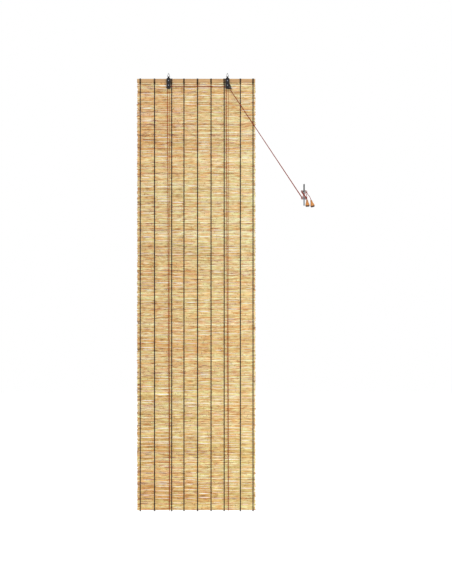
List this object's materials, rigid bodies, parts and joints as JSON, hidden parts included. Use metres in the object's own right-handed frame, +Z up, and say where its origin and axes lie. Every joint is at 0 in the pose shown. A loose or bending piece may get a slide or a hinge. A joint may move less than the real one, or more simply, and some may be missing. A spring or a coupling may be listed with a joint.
{
  "type": "reed roller blind",
  "caption": "Reed mat on a wooden head rail, hung by wire rings on pulley housings, with lift cords over rollers, a cord lock, wooden tassels and a wall cleat.",
  "frame": {"origin": "midway between the two hanging hooks, where the hooks carry the inside of the ring tops", "axes": "+X to the right as seen from the room, +Y towards the wall, +Z up"},
  "size_m": [0.9065, 0.0319, 2.2345],
  "materials": {
    "reed": "natural dry reed",
    "rail_wood": "clear lacquered",
    "warp_thread": "twisted dark brown thread",
    "lashing_thread": "thick black thread",
    "black_steel": "black paint",
    "bright_steel": "zinc plated",
    "ring_wire": "zinc plated wire",
    "lock_steel": "fluted",
    "roller_plastic": "moulded",
    "cord": "twisted reddish brown cord",
    "tassel_wood": "turned and oiled",
    "cleat_metal": "satin cast"
  },
  "bodies": {
    "blind": {"reed_mat": "reed", "head_rail": "rail_wood", "warp_thread_1": "warp_thread", "head_lashing_1": "lashing_thread", "warp_thread_2": "warp_thread", "head_lashing_2": "lashing_thread", "warp_thread_3": "warp_thread", "head_lashing_3": "lashing_thread", "warp_thread_4": "warp_thread", "head_lashing_4": "lashing_thread", "warp_thread_5": "warp_thread", "head_lashing_5": "lashing_thread", "warp_thread_6": "warp_thread", "head_lashing_6": "lashing_thread", "warp_thread_7": "warp_thread", "head_lashing_7": "lashing_thread", "warp_thread_8": "warp_thread", "head_lashing_8": "lashing_thread", "warp_thread_9": "warp_thread", "head_lashing_9": "lashing_thread", "left_housing": "black_steel", "left_rail_rivet": "bright_steel", "left_spacer_rivet": "bright_steel", "left_axle": "black_steel", "right_housing": "black_steel", "right_rail_rivet": "bright_steel", "right_spacer_rivet": "bright_steel", "right_axle": "black_steel", "left_cord": "cord", "right_cord": "cord", "left_tassel": "tassel_wood", "right_tassel": "tassel_wood", "wall_cleat": "cleat_metal"},
    "left_roller_body": {"left_roller": "roller_plastic"},
    "right_roller_body": {"right_roller": "roller_plastic"},
    "lock_roller_body": {"lock_roller": "lock_steel"},
    "left_ring_body": {"left_ring": "ring_wire"},
    "right_ring_body": {"right_ring": "ring_wire"}
  },
  "joints": [
    {"name": "right_roller_spin", "type": "hinge", "parent": "blind", "child": "right_roller_body", "pos_m": [0.15, 0, -0.0715], "axis": [0, 1, 0], "continuous": true},
    {"name": "left_roller_spin", "type": "hinge", "parent": "blind", "child": "left_roller_body", "pos_m": [-0.15, 0, -0.0715], "axis": [0, 1, 0], "continuous": true},
    {"name": "lock_roller_slide", "type": "slide", "parent": "blind", "child": "lock_roller_body", "axis": [-0.809, 0, 0.5878], "range_m": [0, 0.0035]},
    {"name": "left_ring_swing", "type": "hinge", "parent": "blind", "child": "left_ring_body", "pos_m": [-0.15, 0, -0.0166], "axis": [1, 0, 0], "range_deg": [-90, 90]},
    {"name": "right_ring_swing", "type": "hinge", "parent": "blind", "child": "right_ring_body", "pos_m": [0.15, 0, -0.0166], "axis": [1, 0, 0], "range_deg": [-90, 90]}
  ],
  "couplings": [
    {"joint": "left_roller_spin", "follows": "right_roller_spin", "ratio": 1}
  ]
}
